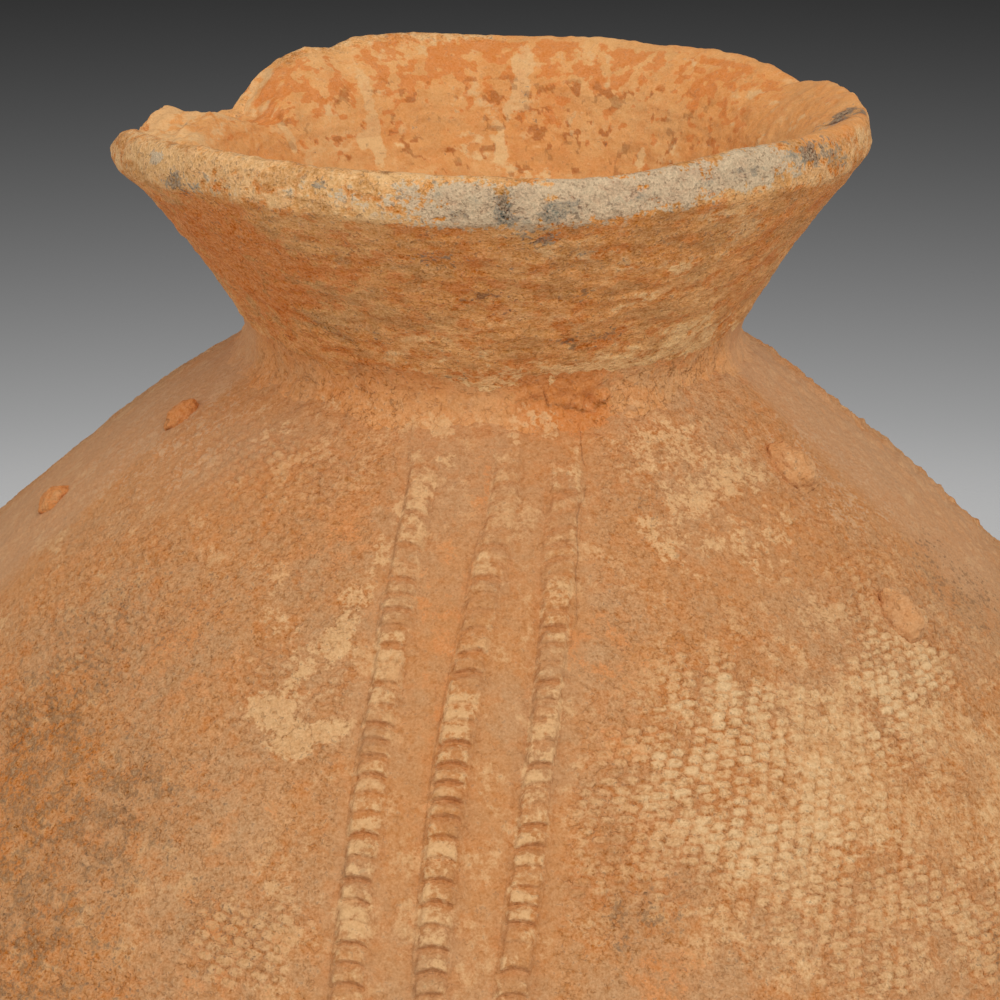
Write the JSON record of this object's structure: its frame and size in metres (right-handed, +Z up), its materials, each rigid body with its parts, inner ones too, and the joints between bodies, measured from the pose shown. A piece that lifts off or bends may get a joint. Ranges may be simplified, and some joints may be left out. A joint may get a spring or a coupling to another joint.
{
  "type": "terracotta storage jar",
  "caption": "Large hand-built terracotta storage jar with a flared neck, a thick worn and chipped lip, a roulette-marked shoulder, notched clay ridges and applied pellets.",
  "frame": {"origin": "centre of the flat base, on the ground", "axes": "+Z up along the jar's axis, -Y towards its decorated front"},
  "size_m": [0.6102, 0.6102, 0.6906],
  "materials": {
    "base_clay": "unglazed terracotta, scuffed and darkened by standing on the ground",
    "body_clay": "unglazed terracotta with roulette marks, pale wear and dark speckles",
    "neck_clay": "unglazed terracotta, smoothed with a brown-orange slip",
    "fillet_clay": "unglazed terracotta strip, cracked and flaking",
    "lip_clay": "unglazed terracotta worn to a grey and buff core",
    "ridge_clay": "unglazed terracotta, pale on the worn crests",
    "pellet_clay": "unglazed terracotta, pale and rubbed"
  },
  "bodies": {
    "root": {"base_bowl": "base_clay", "body_course_1": "body_clay", "body_course_2": "body_clay", "body_course_3": "body_clay", "body_course_4": "body_clay", "body_course_5": "body_clay", "body_course_6": "body_clay", "body_course_7": "body_clay", "body_course_8": "body_clay", "neck_collar": "neck_clay", "neck_fillet": "fillet_clay", "rim_band": "lip_clay", "ridge_left": "ridge_clay", "ridge_centre": "ridge_clay", "ridge_right": "ridge_clay", "pellet_upper_left": "pellet_clay", "pellet_lower_left": "pellet_clay", "pellet_upper_right": "pellet_clay", "pellet_lower_right": "pellet_clay"}
  },
  "joints": []
}
